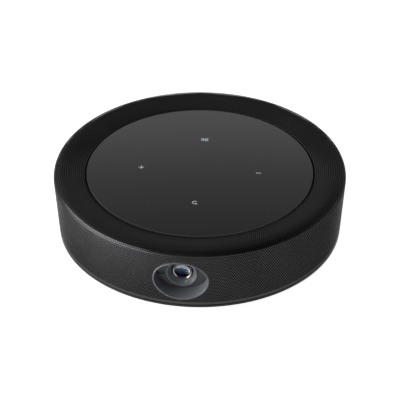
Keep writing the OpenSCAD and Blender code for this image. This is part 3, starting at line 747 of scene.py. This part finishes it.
@dataclass
class LensCup:
    """The oval cup of the lens recess, with a rounded lip that covers the sheet's cut edge."""

    drum: Drum
    height: float = 20.0 * MM
    half_width: float = 16.6 * MM
    half_height: float = 13.8 * MM
    lip: float = 0.8 * MM
    proud: float = 0.1 * MM
    floor_half_width: float = 15.0 * MM
    floor_half_height: float = 10.9 * MM
    floor_up: float = 0.6 * MM
    floor_depth: float = 7.5 * MM
    back_depth: float = 9.6 * MM
    under_lip: float = 1.6 * MM
    rounding: float = 0.3 * MM
    rounding_steps: int = 3
    segments: int = 96
    sharp: float = 40.0

    def on_wall(self, verts: list[bmesh.types.BMVert], proud: float) -> None:
        """Bring a loop of points onto the drum's wall.

        Args:
            verts: The loop.
            proud: How far outside the wall it lies.
        """
        for vert in verts:
            vert.co.y = -self.drum.face(vert.co.x, vert.co.z, proud)

    def build(self) -> None:
        """Make the cup as one closed shell of oval loops and stand for its solid."""
        wall = -self.drum.wall_radius(self.height)
        inner = (self.half_width - self.lip, self.half_height - self.lip)
        floor = (self.floor_half_width, self.floor_half_height)
        back = (floor[0] + self.lip, floor[1] + self.lip)
        # Half width and height, rise, how proud of the wall (None for a flat loop) and depth
        loops = [
            ((self.half_width, self.half_height), 0.0, self.proud, 0.0),
            (inner, 0.0, self.proud, 0.0),
            (floor, self.floor_up, None, self.floor_depth),
            (floor, self.floor_up, None, self.back_depth),
            (back, self.floor_up, None, self.back_depth),
            ((self.half_width, self.half_height), 0.0, -self.under_lip, 0.0),
        ]
        bm = bmesh.new()
        rings = []
        for (a, b), up, proud, depth in loops:
            place = Matrix.Translation((0.0, wall + depth, self.height + up))
            shape = place @ Matrix.Rotation(math.pi / 2.0, 4, "X") @ Matrix.Diagonal((a, b, 1.0, 1.0))
            ring = bmesh.ops.create_circle(bm, segments=self.segments, radius=1.0, matrix=shape)["verts"]
            if proud is not None:
                self.on_wall(ring, proud)
            rings.append(list({e for v in ring for e in v.link_edges}))
        for near, far in zip(rings, rings[1:] + rings[:1]):
            bmesh.ops.bridge_loops(bm, edges=near + far)
        bmesh.ops.recalc_face_normals(bm, faces=bm.faces)
        bmesh.ops.bevel(bm, geom=rings[0] + rings[1], offset=self.rounding, offset_type="OFFSET",
                        affect="EDGES", segments=self.rounding_steps, profile=0.5, material=-1)
        piece = keep_piece(bm, "lens_cup_shell", LENS_BLACK, self.sharp)
        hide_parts("lens_cup")


@dataclass(frozen=True)
class Viewpoint:
    """Where the camera stands, fitted to the outline in the photograph."""

    target: Vector = Vector((0.0, 0.0, 20.8 * MM))
    azimuth: float = math.radians(7.3)
    elevation: float = math.radians(34.9)
    distance: float = 0.997
    slide_right: float = -0.1 * MM
    slide_up: float = 4.0 * MM
    focal_mm: float = 144.0
    sensor_mm: float = 36.0

    def build(self) -> None:
        """Make the camera."""
        level = math.cos(self.elevation)
        back = Vector((level * math.sin(self.azimuth), -level * math.cos(self.azimuth),
                       math.sin(self.elevation)))
        right = UP.cross(back).normalized()
        up = back.cross(right)
        turn = Matrix((right, up, back)).transposed()
        place = self.target + back * self.distance - right * self.slide_right - up * self.slide_up
        data = bpy.data.cameras.new("photo_camera")
        data.lens = self.focal_mm
        data.sensor_width = self.sensor_mm
        camera = bpy.data.objects.new("photo_camera", data)
        camera.matrix_world = Matrix.Translation(place) @ turn.to_4x4()
        bpy.context.scene.collection.objects.link(camera)
        bpy.context.scene.camera = camera


@dataclass(frozen=True)
class Softbox:
    """A large soft lamp, with a grid that narrows its beam where one is fitted."""

    name: str
    place: Vector
    aim: Vector
    size: Pair
    power: float
    beam: float = math.pi

    def build(self) -> None:
        """Make the lamp."""
        data = bpy.data.lights.new(self.name, "AREA")
        data.shape = "RECTANGLE"
        data.size, data.size_y = self.size
        data.energy = self.power
        data.spread = self.beam
        lamp = bpy.data.objects.new(self.name, data)
        facing = (self.aim - self.place).to_track_quat("-Z", "Y")
        lamp.matrix_world = Matrix.Translation(self.place) @ facing.to_matrix().to_4x4()
        bpy.context.scene.collection.objects.link(lamp)


@dataclass
class Studio:
    """A white floor, a pale room that darkens upwards, and soft lamps."""

    floor_size: float = 8.0
    floor_tone: Colour = (0.86, 0.86, 0.86)
    floor_lift: float = 0.86
    room: tuple[Pair, ...] = ((0.5, 0.45), (0.765, 0.55), (0.78, 0.32), (0.8, 0.16), (0.86, 0.36),
                              (1.0, 0.42))
    bright_side: Vector = Vector((-0.6, 0.8, 0.0))
    gains: Pair = (0.1, 1.9)
    lamps: tuple[Softbox, ...] = (
        Softbox("floor_pool", place=Vector((-0.18, -0.14, 0.3)), aim=Vector((-0.23, -0.18, 0.0)),
                size=(0.2, 0.26), power=2.0, beam=math.radians(40.0)),
        Softbox("left_window", place=Vector((-1.0, -0.42, 0.12)), aim=Vector((0.0, 0.0, 0.05)),
                size=(1.6, 0.24), power=13.0),
    )

    def background_share(self, nodes: Nodes) -> bpy.types.NodeSocket:
        """Add a mask of the rays that show the white background.

        Args:
            nodes: The tree's nodes.

        Returns:
            The socket that is 1 for camera, glossy and transmission rays.
        """
        path = nodes.add("ShaderNodeLightPath")
        first = nodes.add("ShaderNodeMath", operation="MAXIMUM")
        nodes.link(path.outputs["Is Camera Ray"], first.inputs[0])
        nodes.link(path.outputs["Is Glossy Ray"], first.inputs[1])
        both = nodes.add("ShaderNodeMath", operation="MAXIMUM")
        nodes.link(first.outputs[0], both.inputs[0])
        nodes.link(path.outputs["Is Transmission Ray"], both.inputs[1])
        return both.outputs[0]

    def build_floor(self) -> None:
        """Make the floor, which keeps the object's shadow."""
        bm = bmesh.new()
        bmesh.ops.create_grid(bm, x_segments=1, y_segments=1, size=self.floor_size / 2.0)
        mesh = bpy.data.meshes.new("floor")
        bm.to_mesh(mesh)
        bm.free()
        paint = bpy.data.materials.new("floor_paint")
        paint.use_nodes = True
        paint.node_tree.nodes.clear()
        nodes = Nodes(paint.node_tree)
        shader = nodes.add("ShaderNodeBsdfPrincipled", Roughness=1.0)
        shader.inputs["Base Color"].default_value = (*self.floor_tone, 1.0)
        shader.inputs["Specular IOR Level"].default_value = 0.0
        shader.inputs["Emission Color"].default_value = (1.0, 1.0, 1.0, 1.0)
        lift = nodes.add("ShaderNodeMath", operation="MULTIPLY")
        lift.inputs[1].default_value = self.floor_lift
        nodes.link(self.background_share(nodes), lift.inputs[0])
        nodes.link(lift.outputs[0], shader.inputs["Emission Strength"])
        output = nodes.add("ShaderNodeOutputMaterial")
        nodes.link(shader.outputs["BSDF"], output.inputs["Surface"])
        mesh.materials.append(paint)
        floor = bpy.data.objects.new("floor", mesh)
        bpy.context.scene.collection.objects.link(floor)

    def build_room(self) -> None:
        """Make the room's light, bright round the horizon, darker overhead and brighter on one side."""
        world = bpy.data.worlds.new("pale_room")
        bpy.context.scene.world = world
        world.use_nodes = True
        world.node_tree.nodes.clear()
        nodes = Nodes(world.node_tree)
        way = nodes.add("ShaderNodeTexCoord")
        parts = nodes.add("ShaderNodeSeparateXYZ")
        nodes.link(way.outputs["Generated"], parts.inputs["Vector"])
        rise = nodes.add("ShaderNodeMapRange", From_Min=-1.0, From_Max=1.0)
        nodes.link(parts.outputs["Z"], rise.inputs["Value"])
        ramp = nodes.ramp([(place, (level, level, level)) for place, level in self.room])
        nodes.link(rise.outputs["Result"], ramp.inputs["Fac"])
        side = nodes.add("ShaderNodeVectorMath", operation="DOT_PRODUCT")
        side.inputs[1].default_value = self.bright_side
        nodes.link(way.outputs["Generated"], side.inputs[0])
        gain = nodes.add("ShaderNodeMapRange", From_Min=-1.0, From_Max=1.0)
        gain.inputs["To Min"].default_value, gain.inputs["To Max"].default_value = self.gains
        nodes.link(side.outputs["Value"], gain.inputs["Value"])
        light = nodes.add("ShaderNodeBackground")
        nodes.link(gain.outputs["Result"], light.inputs["Strength"])
        nodes.link(ramp.outputs["Color"], light.inputs["Color"])
        output = nodes.add("ShaderNodeOutputWorld")
        nodes.link(light.outputs["Background"], output.inputs["Surface"])

    def build(self) -> None:
        """Make the floor, the room and the lamps."""
        self.build_floor()
        self.build_room()
        for lamp in self.lamps:
            lamp.build()


def main() -> None:
    """Load the frame, dress it and set up the studio."""
    logging.basicConfig(level=logging.INFO, format="%(message)s")
    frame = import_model()
    bpy.context.scene.view_settings.view_transform = "Standard"
    finish_solids(frame["nodes"])
    drum = Drum()
    lens_hole = Cutout(half_width=16.1 * MM, half_height=13.3 * MM, height=20.0 * MM, side=-1.0, power=2.0)
    port_hole = Cutout(half_width=30.8 * MM, half_height=8.3 * MM, height=20.0 * MM, side=1.0, power=10.0)
    Grille(drum, (lens_hole, port_hole)).build()
    LensCup(drum).build()
    KeySigns().build()
    Viewpoint().build()
    Studio().build()


if __name__ == "__main__":
    main()
